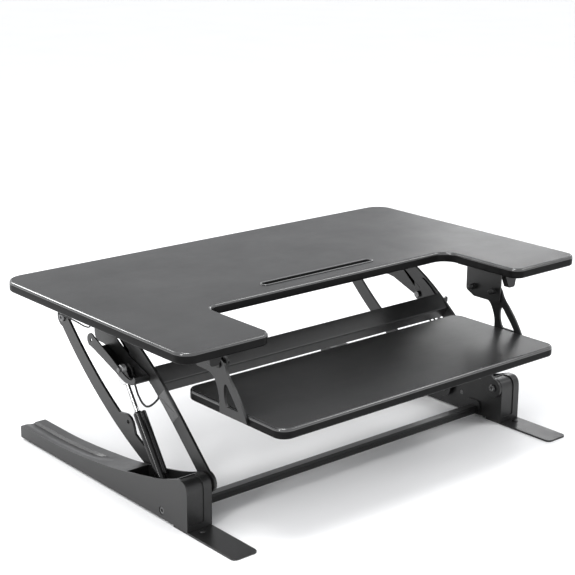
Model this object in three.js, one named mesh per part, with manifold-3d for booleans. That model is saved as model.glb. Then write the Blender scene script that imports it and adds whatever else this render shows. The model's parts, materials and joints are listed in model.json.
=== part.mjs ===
// Standing desk converter: a desktop and a keyboard tray on a parallelogram lift with two gas springs.
// Millimetres, +Z up, X to the right, Y to the back, origin on the floor under the middle of the footprint.
// It is drawn part-way up its travel.

import * as THREE from "three";
import { mergeVertices } from "three/addons/utils/BufferGeometryUtils.js";
import Module from "manifold-3d";

const wasm = await Module();
wasm.setup();

// ---------------------------------------------------------------- driving dimensions

const GAP = 0.3; // between touching pieces

const DESK = { width: 914.4, back: 271.5, front: -264.5, top: 336.2, thick: 18.7, round: 5, corner: 25 };
DESK.under = DESK.top - DESK.thick;
const CUTOUT = { half: 284.4, back: -88.4, corner: 28, lip: 21 };
const SLOT = { half: 130, y: -46.8, width: 18, wall: 2, depth: 13, lip: 1.2 };

const TRAY = { half: 323.7, front: -333.5, back: -84, under: 186, thick: 18, corner: 22, round: 4.5 };
const TONGUE = { front: -250, back: -188, low: 190.5, thick: 2.4, deep: 34 };

const LIFT = { angle: THREE.MathUtils.degToRad(34.6), length: 366.7 };
const FRONT_FOOT_PIVOT = [-173, 72];
const REAR_FOOT_PIVOT = [-44.5, 38];
const reach = (pivot) => [
  pivot[0] + LIFT.length * Math.cos(LIFT.angle),
  pivot[1] + LIFT.length * Math.sin(LIFT.angle),
];
const FRONT_DESK_PIVOT = reach(FRONT_FOOT_PIVOT);
const REAR_DESK_PIVOT = reach(REAR_FOOT_PIVOT);

const ARM = { inner: 340, thick: 5, width: 28, end: 18.3, bow: 22, lean: [16, 54], bump: 12, eye: [247, 0], hole: 4.3 };
ARM.outer = ARM.inner + ARM.thick;

const FOOT = { inner: 348.9, width: 49.9, back: 333.5, front: -188.5, under: 3.7, wall: 3 };
FOOT.outer = FOOT.inner + FOOT.width;
FOOT.middle = (FOOT.inner + FOOT.outer) / 2;
const FOOT_PLATE = { front: -308.7, back: -150, thick: 3.4, corner: 9 };
const FOOT_MOUTH = { back: -15, front: -158, lipUnder: 84.5, floor: 7 };
const CROSSBAR = { front: -129, back: -112, under: 4.3, height: 17 };

const SPRING = {
  low: [-85, 36.7],
  high: [33.3, 213.2],
  x: 368,
  tube: 8.2,
  sideTube: { radius: 4.9, inboard: 10.6 },
  rod: 4,
  tubeEnd: 136,
  eyeHalf: 4,
};
const PAN = { outer: 374.9, sheet: 2.6 };
const RAIL = { inner: 336.4, sheet: 3, front: 96, back: 266, depth: 30 };
const HANGER = { inner: 320.3, sheet: 3, front: -196.5, back: -111.5, under: 251 };
const TRAY_ARM = { inner: 324, outer: 328 };
const THUMB_BOLTS = [
  [-130.5, 270],
  [-180.5, 272],
];
const PADDLE = { inner: 326.2, outer: 361, back: -187.5, thick: 12, pin: [-193.5, 308] };

// ---------------------------------------------------------------- materials

const material = (color, roughness, metalness) =>
  new THREE.MeshStandardMaterial({ color, roughness, metalness });
const BOARD = material(0x1d1e20, 0.55, 0.0);
const POWDER = material(0x141517, 0.45, 0.4);
const PLASTIC = material(0x0d0d0e, 0.5, 0.0);
const RUBBER = material(0x0a0a0a, 0.9, 0.0);
const BOLT = material(0x2a2b2d, 0.35, 0.8);
const CHROME = material(0xd5d8dc, 0.12, 1.0);
const CAST = material(0xb9bcc0, 0.4, 0.8);

// ---------------------------------------------------------------- solids

const toSolid = (geometry) => {
  const bare = geometry.index ? geometry.toNonIndexed() : geometry.clone();
  bare.deleteAttribute("normal");
  bare.deleteAttribute("uv");
  const merged = mergeVertices(bare, 1e-4);
  const vertProperties = new Float32Array(merged.attributes.position.array);
  const corners = [];
  const index = merged.index.array;
  for (let i = 0; i < index.length; i += 3) {
    const [a, b, c] = [index[i], index[i + 1], index[i + 2]];
    if (a !== b && b !== c && c !== a) corners.push(a, b, c);
  }
  const point = (i) => new THREE.Vector3().fromArray(vertProperties, 3 * i);
  let volume = 0;
  for (let i = 0; i < corners.length; i += 3) {
    volume += point(corners[i]).dot(point(corners[i + 1]).cross(point(corners[i + 2])));
  }
  if (volume < 0) corners.reverse();
  const triVerts = new Uint32Array(corners);
  return new wasm.Manifold(new wasm.Mesh({ numProp: 3, vertProperties, triVerts }));
};

const toGeometry = (solid) => {
  const mesh = solid.getMesh();
  const geometry = new THREE.BufferGeometry();
  geometry.setAttribute("position", new THREE.BufferAttribute(new Float32Array(mesh.vertProperties), 3));
  geometry.setIndex(new THREE.BufferAttribute(new Uint32Array(mesh.triVerts), 1));
  geometry.computeVertexNormals();
  return geometry;
};

const join = (...pieces) => pieces.reduce((sum, piece) => sum.add(piece));
const cut = (body, ...tools) => tools.reduce((rest, tool) => rest.subtract(tool), body);

const moved = (solid, by) => toSolid(toGeometry(solid).translate(...by));

// A closed outline whose corners [a, b, radius] are rounded by arcs.
const rounded = (corners, steps = 4) => {
  const count = corners.length;
  const points = [];
  corners.forEach(([a, b, radius = 0], i) => {
    const here = new THREE.Vector2(a, b);
    const [pa, pb] = corners[(i + count - 1) % count];
    const [na, nb] = corners[(i + 1) % count];
    const before = new THREE.Vector2(pa, pb).sub(here).normalize();
    const after = new THREE.Vector2(na, nb).sub(here).normalize();
    const half = Math.acos(THREE.MathUtils.clamp(before.dot(after), -1, 1)) / 2;
    if (radius === 0 || half > 1.55) {
      points.push(here);
      return;
    }
    const middle = before.clone().add(after).normalize();
    const centre = here.clone().addScaledVector(middle, radius / Math.sin(half));
    const start = here.clone().addScaledVector(before, radius / Math.tan(half)).sub(centre);
    const end = here.clone().addScaledVector(after, radius / Math.tan(half)).sub(centre);
    const sweep = Math.atan2(start.cross(end), start.dot(end));
    for (let k = 0; k <= steps; k += 1) {
      points.push(start.clone().rotateAround(new THREE.Vector2(), (sweep * k) / steps).add(centre));
    }
  });
  return new THREE.Shape(points);
};

const circle = (radius, a = 0, b = 0) => new THREE.Shape().absarc(a, b, radius, 0, 2 * Math.PI);

const extrude = (shape, depth, options = {}) =>
  new THREE.ExtrudeGeometry(shape, { depth, bevelEnabled: false, curveSegments: 8, ...options });

const axes = (x, y, z) =>
  new THREE.Matrix4().makeBasis(new THREE.Vector3(...x), new THREE.Vector3(...y), new THREE.Vector3(...z));
const ALONG_X = axes([0, 1, 0], [0, 0, 1], [1, 0, 0]); // outline in (Y, Z)
const ALONG_Y = axes([1, 0, 0], [0, 0, 1], [0, -1, 0]); // outline in (X, Z)

// A plate on side s (-1 left, +1 right) whose (Y, Z) outline spans inner..outer from the middle plane.
const sidePlate = (s, shape, inner, outer, options) => {
  const geometry = extrude(shape, outer - inner, options).applyMatrix4(ALONG_X);
  return toSolid(geometry.translate(s > 0 ? inner : -outer, 0, 0));
};
const crossPlate = (shape, front, back) =>
  toSolid(extrude(shape, back - front).applyMatrix4(ALONG_Y).translate(0, back, 0));
const flatPlate = (shape, bottom, top, options) =>
  toSolid(extrude(shape, top - bottom, options).translate(0, 0, bottom));

const block = (x, y, z) => {
  const size = [x, y, z].map(([low, high]) => high - low);
  const geometry = new THREE.BoxGeometry(...size);
  return toSolid(geometry.translate((x[0] + x[1]) / 2, (y[0] + y[1]) / 2, (z[0] + z[1]) / 2));
};
const sideBlock = (s, inner, outer, y, z) => block(s > 0 ? [inner, outer] : [-outer, -inner], y, z);

// A body turned about an X axis through (y, z); the profile is [distance from the middle plane, radius].
const turned = (s, profile, [y, z], segments = 12) => {
  const points = profile.map(([x, radius]) => new THREE.Vector2(radius, x));
  points.unshift(new THREE.Vector2(0, profile[0][0]));
  points.push(new THREE.Vector2(0, profile[profile.length - 1][0]));
  const lathe = new THREE.LatheGeometry(points, segments).rotateZ(-Math.PI / 2);
  if (s < 0) lathe.rotateY(Math.PI);
  return toSolid(lathe.translate(0, y, z));
};

// A bevelled board: the outline stays the outer one.
const board = (shape, bottom, top, round) =>
  toSolid(
    extrude(shape, top - bottom - 2 * round, {
      bevelEnabled: true,
      bevelThickness: round,
      bevelSize: round,
      bevelOffset: -round,
      bevelSegments: 2,
    }).translate(0, 0, bottom + round),
  );

const group = new THREE.Group();
group.name = "standing_desk_converter";
const add = (name, solid, finish) => {
  const mesh = new THREE.Mesh(toGeometry(solid), finish);
  mesh.name = name;
  group.add(mesh);
};
const SIDES = [
  [-1, "left"],
  [1, "right"],
];

// ---------------------------------------------------------------- feet and crossbar

const CROSSBAR_BOLT = [-118, 17];
// channel along the tail: start and full depth along Y, and its section (distance from the outer side, depth)
const CHANNEL = { start: 47, full: 130, end: 345, section: [[6, 0], [11, 1], [17, 2.9], [23, 4.3], [28, 4.5], [32, 0]] };
const PRESSED = 1.7; // depth of the panel on the box

const TAIL_TOP = [
  [-127, 76],
  [-84, 65],
  [12, 46.5],
  [80, 38],
  [158, 31],
  [233, 27.5],
  [326, 28],
].map(([y, z]) => new THREE.Vector2(y, z));

const footOutline = () => {
  const shape = new THREE.Shape();
  shape.moveTo(FOOT.front, FOOT.under);
  shape.lineTo(FOOT.front, 66);
  shape.quadraticCurveTo(FOOT.front, 88, -172, 88);
  shape.lineTo(-162, 88);
  shape.splineThru(TAIL_TOP);
  shape.quadraticCurveTo(FOOT.back, 28, FOOT.back, 21);
  shape.lineTo(FOOT.back, FOOT.under);
  return shape;
};

// What the channel takes out of the tail: its section follows the top and fades out towards the front.
const channelCutter = (s) => {
  const line = new THREE.SplineCurve(TAIL_TOP).getPoints(200);
  const topAt = (y) => {
    const next = line.findIndex((p) => p.x >= y);
    if (next < 0) return TAIL_TOP.at(-1).y;
    const [a, b] = [line[next - 1], line[next]];
    return a.y + ((y - a.x) / (b.x - a.x)) * (b.y - a.y);
  };
  const { start, full, end, section } = CHANNEL;
  const steps = 22;
  const [first, last] = [section[0][0], section.at(-1)[0]];
  const points = [];
  for (let i = 0; i <= steps; i += 1) {
    const y = start + ((end - start) * i) / steps;
    const share = THREE.MathUtils.smoothstep(y, start, full);
    const top = topAt(y);
    const ring = section.map(([u, depth]) => [u, 0.3 - (0.1 + depth) * share]);
    [[first, 4], ...ring, [last, 4]].forEach(([u, z]) => points.push(s * (FOOT.outer - u), y, top + z));
  }
  const count = section.length + 2;
  const faces = [];
  for (let i = 0; i < steps; i += 1) {
    for (let k = 0; k < count; k += 1) {
      const [a, b] = [i * count + k, i * count + ((k + 1) % count)];
      faces.push(a, a + count, b, b, a + count, b + count);
    }
  }
  for (let k = 1; k < count - 1; k += 1) {
    faces.push(0, k, k + 1);
    faces.push(steps * count, steps * count + k + 1, steps * count + k);
  }
  const geometry = new THREE.BufferGeometry();
  geometry.setAttribute("position", new THREE.Float32BufferAttribute(points, 3));
  geometry.setIndex(faces);
  return toSolid(geometry);
};

const footHousing = (s) => {
  const outer = sidePlate(s, footOutline(), FOOT.inner, FOOT.outer, { curveSegments: 7 });
  const [inside, outside] = [FOOT.inner + FOOT.wall, FOOT.outer - FOOT.wall];
  const { floor, front, back, lipUnder } = FOOT_MOUTH;
  const mouth = sideBlock(s, inside, outside, [front, back], [floor, 100]);
  const nose = rounded([
    [front + 1, floor],
    [front + 1, lipUnder],
    [FOOT.front + 3.5, lipUnder, 16],
    [FOOT.front + 3.5, floor],
  ]);
  const noseRoom = sidePlate(s, nose, inside, outside);
  // a pressed panel over the box's front and top
  const middle = s * FOOT.middle;
  const sunk = moved(outer, [0, PRESSED, -PRESSED]);
  const panel = cut(
    crossPlate(
      rounded([
        [middle - 21.5, 13, 4],
        [middle + 9, 13, 4],
        [middle + 9, 100],
        [middle - 21.5, 100],
      ]),
      FOOT.front - 4,
      -161,
    ),
    sunk,
  );
  const pinHole = (pivot, radius) => turned(s, [[FOOT.inner - 2, radius], [inside + 1, radius]], pivot);
  const boltHole = turned(s, [[FOOT.inner - 2, 3.4], [FOOT.outer - 2, 3.4]], CROSSBAR_BOLT);
  const boltRecess = turned(s, [[outside - 1, 7], [FOOT.outer + 2, 7]], CROSSBAR_BOLT);
  return cut(
    outer,
    mouth,
    noseRoom,
    channelCutter(s),
    panel,
    pinHole(FRONT_FOOT_PIVOT, 4.6),
    pinHole(REAR_FOOT_PIVOT, 4.6),
    pinHole(SPRING.low, 4.3),
    boltHole,
    boltRecess,
  );
};

const footPlate = (s) => {
  const [a, b] = s > 0 ? [FOOT.inner, FOOT.outer] : [-FOOT.outer, -FOOT.inner];
  const { front, back, corner, thick } = FOOT_PLATE;
  const outline = rounded([
    [a, front, corner],
    [b, front, corner],
    [b, back],
    [a, back],
  ]);
  return flatPlate(outline, 0, thick);
};

const crossbar = () => {
  const { front, back, under, height } = CROSSBAR;
  const half = FOOT.inner - GAP;
  const section = rounded([
    [front, under, 4],
    [back, under, 1.5],
    [back, under + height, 1.5],
    [front, under + height, 1.5],
  ], 3);
  const bar = toSolid(extrude(section, 2 * half).applyMatrix4(ALONG_X).translate(-half, 0, 0));
  const groove = block([-half + 3, half - 3], [front - 1, front + 0.8], [under + 10, under + 11.5]);
  const flange = (s) =>
    sidePlate(
      s,
      rounded([
        [front - 7, under, 2],
        [back + 9, under, 2],
        [back + 9, 32, 6],
        [front - 7, 32, 6],
      ], 3),
      half - 2.6,
      half,
    );
  return join(cut(bar, groove), flange(-1), flange(1));
};

SIDES.forEach(([s, side]) => {
  add(`${side}_foot_housing`, footHousing(s), POWDER);
  add(`${side}_foot_plate`, footPlate(s), POWDER);
  const [a, b] = s > 0 ? [FOOT.inner, FOOT.outer] : [-FOOT.outer, -FOOT.inner];
  const pad = rounded([
    [a + 4, 250, 8],
    [b - 4, 250, 8],
    [b - 4, 328, 8],
    [a + 4, 328, 8],
  ], 4);
  add(`${side}_rear_foot_pad`, flatPlate(pad, 0, FOOT.under - GAP), RUBBER);
  const screw = new THREE.LatheGeometry(
    [[0, 0], [5.4, 0], [5.4, 0.9], [3.4, 2.4], [0, 2.8]].map(([r, z]) => new THREE.Vector2(r, z)),
    12,
  ).rotateX(Math.PI / 2);
  const place = screw.translate(s * (FOOT.middle + 4), -200, FOOT_PLATE.thick + GAP);
  add(`${side}_foot_plate_screw`, toSolid(place), BOLT);
  const bolt = [
    [FOOT.inner + GAP, 3],
    [FOOT.outer - 3.4, 3],
    [FOOT.outer - 3.4, 6.5],
    [FOOT.outer - 1.4, 6.5],
    [FOOT.outer - 0.6, 5.4],
  ];
  add(`${side}_crossbar_bolt`, turned(s, bolt, CROSSBAR_BOLT, 16), BOLT);
});
add("crossbar", crossbar(), POWDER);

// ---------------------------------------------------------------- pivot bolts on the feet

const footPivotBolt = (s, pivot) =>
  turned(
    s,
    [
      [ARM.inner - 3.6, 4.5],
      [ARM.inner - 2.6, 7.5],
      [ARM.inner - GAP, 7.5],
      [ARM.inner - GAP, 4],
      [ARM.outer + GAP, 4],
      [ARM.outer + GAP, 8],
      [FOOT.inner - GAP, 8],
      [FOOT.inner - GAP, 4],
      [FOOT.inner + FOOT.wall + GAP, 4],
      [FOOT.inner + FOOT.wall + GAP, 6.5],
      [FOOT.inner + FOOT.wall + 4.5, 6.5],
    ],
    pivot,
  );

SIDES.forEach(([s, side]) => {
  add(`${side}_front_foot_pivot_bolt`, footPivotBolt(s, FRONT_FOOT_PIVOT), BOLT);
  add(`${side}_rear_foot_pivot_bolt`, footPivotBolt(s, REAR_FOOT_PIVOT), BOLT);
  const pin = [
    [FOOT.inner + GAP, 4],
    [FOOT.outer - FOOT.wall - GAP, 4],
  ];
  add(`${side}_spring_lower_pin`, turned(s, pin, SPRING.low), BOLT);
});

// ---------------------------------------------------------------- lift arms

// The arm lies along u from its lower pivot, bowed towards +w: evenly on the rear arm, and more towards
// its top on the front arm.
const evenBow = (k) => {
  const u = LIFT.length * k;
  const radius = (LIFT.length ** 2 / 4 + ARM.bow ** 2) / (2 * ARM.bow);
  return new THREE.Vector2(u, ARM.bow - radius + Math.sqrt(radius ** 2 - (u - LIFT.length / 2) ** 2));
};
const highBow = (k) =>
  new THREE.CubicBezierCurve(
    new THREE.Vector2(0, 0),
    new THREE.Vector2(0.3 * LIFT.length, ARM.lean[0]),
    new THREE.Vector2(0.72 * LIFT.length, ARM.lean[1]),
    new THREE.Vector2(LIFT.length, 0),
  ).getPoint(k);

const bandAlong = (line, steps = 16) => {
  const edge = (side) =>
    Array.from({ length: steps + 1 }, (_, i) => {
      const k = i / steps;
      const tangent = line(Math.min(k + 0.01, 1)).sub(line(Math.max(k - 0.01, 0))).normalize();
      const normal = new THREE.Vector2(-tangent.y, tangent.x);
      return line(k).addScaledVector(normal, (side * ARM.width) / 2);
    });
  return new THREE.Shape([...edge(1), ...edge(-1).reverse()]);
};

const armSolid = (line, [u, w], tail) => {
  const { length } = LIFT;
  const band = bandAlong(line);
  // a bump on the hollow side carries a hole, on the front arm for the spring's upper pin
  const low = w - ARM.bump;
  const bump = new THREE.Shape();
  bump.moveTo(u - 40, 14);
  bump.bezierCurveTo(u - 20, 6, u - 15, low, u, low);
  bump.bezierCurveTo(u + 0.375 * tail, low, u + 0.5 * tail, 2, u + tail, 12);
  const layer = (shape, segments = 8) => toSolid(extrude(shape, ARM.thick, { curveSegments: segments }));
  const drill = (r, a, b) => toSolid(extrude(circle(r, a, b), ARM.thick + 2).translate(0, 0, -1));
  const plate = join(
    layer(band),
    layer(circle(ARM.end, 0, 0)),
    layer(circle(ARM.end, length, 0)),
    layer(bump, 4),
  );
  return cut(plate, drill(ARM.hole, 0, 0), drill(ARM.hole, length, 0), drill(ARM.hole - 0.7, u, w));
};

// Places the arm plate on side s: lower pivot first, or turned end for end about its own middle.
const placedArm = (s, pivot, line, eye, tail, flipped) => {
  const [c, d] = [Math.cos(LIFT.angle), Math.sin(LIFT.angle)];
  const from = flipped ? reach(pivot) : pivot;
  const k = flipped ? -1 : 1;
  const place = axes([0, k * c, k * d], [0, -k * d, k * c], [1, 0, 0]);
  place.setPosition(s > 0 ? ARM.inner : -ARM.outer, from[0], from[1]);
  return toSolid(toGeometry(armSolid(line, eye, tail)).applyMatrix4(place));
};

// The spring's upper pin in the front arm's own (u, w).
const SPRING_EYE = new THREE.Vector2(...SPRING.high)
  .sub(new THREE.Vector2(...FRONT_FOOT_PIVOT))
  .rotateAround(new THREE.Vector2(), -LIFT.angle)
  .toArray();

SIDES.forEach(([s, side]) => {
  add(`${side}_front_arm`, placedArm(s, FRONT_FOOT_PIVOT, highBow, SPRING_EYE, 24, false), POWDER);
  add(`${side}_rear_arm`, placedArm(s, REAR_FOOT_PIVOT, evenBow, ARM.eye, 40, true), POWDER);
});

// Folded sheet between the front arms, with an ear at each end.
const midChannel = () => {
  const half = ARM.inner - GAP;
  const sheet = rounded([
    [-23, 227.5],
    [-47.5, 204, 3],
    [-33, 182],
    [-31.2, 183.2],
    [-44.8, 203.8, 1.2],
    [-21.6, 226.1],
  ], 3);
  const web = toSolid(extrude(sheet, 2 * half).applyMatrix4(ALONG_X).translate(-half, 0, 0));
  const ear = rounded([
    [-23.4, 227],
    [-46.5, 204, 2],
    [-33, 183],
    [-8, 192, 6],
    [20, 215, 6],
    [32, 238, 4],
    [24, 250, 4],
    [14, 245.5, 8],
    [-3, 234, 8],
    [-14.2, 223.5, 4],
  ], 3);
  return join(web, sidePlate(-1, ear, half - 2.4, half), sidePlate(1, ear, half - 2.4, half));
};
add("arm_cross_channel", midChannel(), POWDER);

// ---------------------------------------------------------------- spring pans on the front arms

// A trough open upwards: outer cheek, web along its lower edge, front wall, and an inner cheek that also
// hangs on the front arm's upper pivot. The rod comes up through a slot in the web.
const pan = (s) => {
  const { outer, sheet } = PAN;
  const near = ARM.outer + GAP;
  const eye = [117.5, 244.9];
  const lowerEdge = (shape) => {
    shape.moveTo(-13.9, 211.2);
    shape.quadraticCurveTo(-16.9, 200.7, -7.4, 197.2);
    shape.quadraticCurveTo(4.1, 194.2, 16.1, 196.3);
    shape.quadraticCurveTo(28.1, 199.7, 40.6, 205.3);
    shape.lineTo(109.8, 231);
  };
  const strip = new THREE.Shape();
  lowerEdge(strip);
  strip.absarc(...eye, 12, -Math.PI / 3, Math.PI * 0.75, false);
  strip.lineTo(57.1, 229.7);
  strip.quadraticCurveTo(34.1, 216.7, 23.1, 211.2);
  strip.quadraticCurveTo(10.1, 203.7, -1.9, 204.7);
  strip.quadraticCurveTo(-7.9, 205.7, -9.9, 212.2);
  const cheek = new THREE.Shape();
  lowerEdge(cheek);
  cheek.lineTo(124, 233);
  cheek.lineTo(138, 233);
  cheek.quadraticCurveTo(148, 236, 148, 250);
  cheek.lineTo(147, 282);
  cheek.absarc(...FRONT_DESK_PIVOT, 17, 0, Math.PI * 0.85, false);
  cheek.lineTo(100, 263);
  cheek.lineTo(68, 244.8);
  cheek.lineTo(39, 229.2);
  cheek.lineTo(10, 219.5);
  cheek.lineTo(-10.5, 212.2);
  const outerCheek = sidePlate(s, strip, outer - sheet, outer, { curveSegments: 5 });
  const innerCheek = sidePlate(s, cheek, near, near + sheet, { curveSegments: 5 });
  const trough = new THREE.Shape();
  lowerEdge(trough);
  trough.lineTo(108.8, 233.5);
  trough.lineTo(39.6, 207.8);
  trough.quadraticCurveTo(27.1, 202.2, 15.6, 198.9);
  trough.quadraticCurveTo(4.1, 196.9, -6.9, 199.9);
  trough.quadraticCurveTo(-13.4, 202.7, -11.3, 211.2);
  const web = sidePlate(s, trough, near, outer, { curveSegments: 4 });
  const slot = sideBlock(s, SPRING.x - 6.5, outer - sheet, [2.5, 52], [188, 224]);
  const cableHole = toSolid(extrude(circle(2.6, s * 352.2, 24.6), 16).translate(0, 0, 190));
  const along = (radius, from, to, at) => turned(s, [[from, radius], [to, radius]], at);
  return cut(
    join(outerCheek, innerCheek, cut(web, slot, cableHole)),
    along(3.2, outer - sheet - 1, outer + 1, eye),
    along(3.6, near - 1, outer + 1, SPRING.high),
    along(ARM.hole, near - 1, near + sheet + 1, FRONT_DESK_PIVOT),
  );
};

SIDES.forEach(([s, side]) => {
  add(`${side}_spring_pan`, pan(s), POWDER);
  // the spring's upper pin, in two halves that end just short of the spring's head
  const eye = [SPRING.x - SPRING.eyeHalf - 0.5, SPRING.x + SPRING.eyeHalf + 0.5];
  const innerPin = [
    [ARM.inner - 5.6, 6.2],
    [ARM.inner - GAP, 6.2],
    [ARM.inner - GAP, 3.3],
    [eye[0], 3.3],
  ];
  const outerPin = [
    [eye[1], 3.3],
    [PAN.outer + GAP, 3.3],
    [PAN.outer + GAP, 4.6],
    [PAN.outer + 1.2, 4.6],
    [PAN.outer + 1.8, 3.6],
  ];
  add(`${side}_spring_upper_pin_inner`, turned(s, innerPin, SPRING.high), BOLT);
  add(`${side}_spring_upper_pin_outer`, turned(s, outerPin, SPRING.high), BOLT);
});

// ---------------------------------------------------------------- gas springs

// Builds along u from the lower eye, then leans it up to the upper pin.
const leaning = (s, solid) => {
  const [dy, dz] = [SPRING.high[0] - SPRING.low[0], SPRING.high[1] - SPRING.low[1]];
  const long = Math.hypot(dy, dz);
  const [c, d] = [dy / long, dz / long];
  const place = axes([0, c, d], [0, -d, c], [1, 0, 0]);
  place.setPosition(s * SPRING.x, ...SPRING.low);
  return toSolid(toGeometry(solid).applyMatrix4(place));
};
const SPRING_LENGTH = Math.hypot(SPRING.high[0] - SPRING.low[0], SPRING.high[1] - SPRING.low[1]);

const lathed = (profile, segments = 16) => {
  const points = profile.map(([u, radius]) => new THREE.Vector2(radius, u));
  return toSolid(new THREE.LatheGeometry(points, segments).rotateZ(-Math.PI / 2));
};

const gasTube = (s) => {
  const { tube, tubeEnd, eyeHalf, sideTube } = SPRING;
  const shell = lathed([
    [12, 0],
    [12, tube - 2],
    [14, tube],
    [tubeEnd - 3, tube],
    [tubeEnd, tube - 3],
    [tubeEnd, 4.5],
    [24, 4.5],
    [24, 0],
  ], 28);
  const side = moved(
    lathed([
      [22, 0],
      [22, sideTube.radius - 1],
      [23, sideTube.radius],
      [tubeEnd - 2.5, sideTube.radius],
      [tubeEnd - 1, sideTube.radius - 1.5],
      [tubeEnd - 1, 0],
    ], 20),
    [0, 0, -s * sideTube.inboard],
  );
  const eye = toSolid(extrude(circle(8.5), 12).translate(0, 0, -6));
  const neck = toSolid(new THREE.BoxGeometry(14, 11, 11).translate(7, 0, 0));
  const bore = toSolid(extrude(circle(4.4), 30).translate(0, 0, -15));
  return cut(join(shell, side, eye, neck), bore);
};

const gasRod = () =>
  lathed([
    [86, 0],
    [86, SPRING.rod],
    [SPRING_LENGTH - 26, SPRING.rod],
    [SPRING_LENGTH - 26, 0],
  ], 20);

const releaseHead = () => {
  const { eyeHalf } = SPRING;
  const long = SPRING_LENGTH;
  const eye = toSolid(extrude(circle(8.5, long, 0), 2 * eyeHalf).translate(0, 0, -eyeHalf));
  const neck = toSolid(
    new THREE.BoxGeometry(26 - GAP, 12, 2 * eyeHalf - 1).translate(long - 13 + GAP / 2, 0, 0),
  );
  const lever = rounded([
    [long - 25, 0],
    [long - 25, -14, 3],
    [long - 21, -17.5, 3],
    [long - 7, -17.5, 3],
    [long - 4, -14, 3],
    [long - 6, 0],
  ], 3);
  const valve = toSolid(extrude(lever, 7).translate(0, 0, -3.5));
  const bore = toSolid(extrude(circle(3.7, long, 0), 30).translate(0, 0, -15));
  return cut(join(eye, neck, valve), bore);
};

SIDES.forEach(([s, side]) => {
  add(`${side}_gas_spring_tube`, leaning(s, gasTube(s)), PLASTIC);
  add(`${side}_gas_spring_rod`, leaning(s, gasRod()), CHROME);
  add(`${side}_gas_spring_head`, leaning(s, releaseHead()), CAST);
});

// ---------------------------------------------------------------- desktop

const desktop = () => {
  const half = DESK.width / 2;
  const outline = rounded([
    [-half, DESK.back, 38],
    [-half, DESK.front, DESK.corner],
    [-CUTOUT.half, DESK.front, CUTOUT.lip],
    [-CUTOUT.half, CUTOUT.back, CUTOUT.corner],
    [CUTOUT.half, CUTOUT.back, CUTOUT.corner],
    [CUTOUT.half, DESK.front, CUTOUT.lip],
    [half, DESK.front, DESK.corner],
    [half, DESK.back, 38],
  ], 5);
  const top = board(outline, DESK.under, DESK.top, DESK.round);
  return cut(top, flatPlate(slotOutline(0), DESK.under - 2, DESK.top + 2));
};

const slotOutline = (inset) => {
  const half = SLOT.half - inset;
  const side = SLOT.width / 2 - inset;
  const shape = new THREE.Shape();
  shape.absarc(half - side, SLOT.y, side, -Math.PI / 2, Math.PI / 2, false);
  shape.absarc(-half + side, SLOT.y, side, Math.PI / 2, 1.5 * Math.PI, false);
  return shape;
};

const slotLiner = () => {
  const floor = DESK.top - SLOT.depth;
  const body = flatPlate(slotOutline(GAP), floor, DESK.top + SLOT.lip);
  const lip = flatPlate(slotOutline(-1.2), DESK.top + GAP, DESK.top + SLOT.lip);
  const room = flatPlate(slotOutline(GAP + SLOT.wall), floor + 2, DESK.top + 5);
  return cut(join(body, lip), room);
};

add("desktop", desktop(), BOARD);
add("tablet_slot_liner", slotLiner(), PLASTIC);

// ---------------------------------------------------------------- rails under the desktop

const rail = (s) => {
  const { inner, sheet, front, back, depth } = RAIL;
  const top = DESK.under - GAP;
  const outline = rounded([
    [front, top],
    [front, top - depth, 8],
    [FRONT_DESK_PIVOT[0] - 17, FRONT_DESK_PIVOT[1] - 2, 6],
    [FRONT_DESK_PIVOT[0] - 4, FRONT_DESK_PIVOT[1] - 17, 12],
    [FRONT_DESK_PIVOT[0] + 18, FRONT_DESK_PIVOT[1] - 14, 12],
    [FRONT_DESK_PIVOT[0] + 36, top - depth, 10],
    [REAR_DESK_PIVOT[0] - 42, top - depth, 14],
    [REAR_DESK_PIVOT[0] - 16, REAR_DESK_PIVOT[1] - 2, 8],
    [REAR_DESK_PIVOT[0] - 8, REAR_DESK_PIVOT[1] - 17, 10],
    [REAR_DESK_PIVOT[0] + 12, REAR_DESK_PIVOT[1] - 16, 10],
    [back, REAR_DESK_PIVOT[1] + 8, 6],
    [back, top],
  ], 4);
  const plate = sidePlate(s, outline, inner, inner + sheet);
  const flange = sideBlock(s, inner - 32, inner + sheet, [front, back], [top - sheet, top]);
  const hole = (pivot) => turned(s, [[inner - 2, 4.3], [inner + sheet + 2, 4.3]], pivot);
  return cut(join(plate, flange), hole(FRONT_DESK_PIVOT), hole(REAR_DESK_PIVOT));
};

const deskPivotBolt = (s, pivot, stack) =>
  turned(
    s,
    [
      [RAIL.inner - 5.3, 6.5],
      [RAIL.inner - GAP, 6.5],
      [RAIL.inner - GAP, 4],
      [stack + GAP, 4],
      [stack + GAP, 8],
      [stack + 2.4, 8],
      [stack + 3.8, 5.5],
    ],
    pivot,
  );

SIDES.forEach(([s, side]) => {
  add(`${side}_desk_rail`, rail(s), POWDER);
  add(`${side}_front_desk_pivot_bolt`, deskPivotBolt(s, FRONT_DESK_PIVOT, ARM.outer + GAP + PAN.sheet), BOLT);
  add(`${side}_rear_desk_pivot_bolt`, deskPivotBolt(s, REAR_DESK_PIVOT, ARM.outer), BOLT);
});

// ---------------------------------------------------------------- keyboard tray

const tray = () => {
  const { half, front, back, under, thick, corner, round } = TRAY;
  const outline = rounded([
    [-half, back, 22],
    [-half, front, corner],
    [half, front, corner],
    [half, back, 22],
  ], 5);
  const pocket = (s) =>
    sideBlock(
      s,
      TRAY_ARM.inner - TONGUE.deep - GAP,
      half + 2,
      [TONGUE.front - GAP, TONGUE.back + GAP],
      [TONGUE.low - GAP, TONGUE.low + TONGUE.thick + GAP],
    );
  return cut(board(outline, under, under + thick, round), pocket(-1), pocket(1));
};
add("keyboard_tray", tray(), BOARD);

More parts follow.
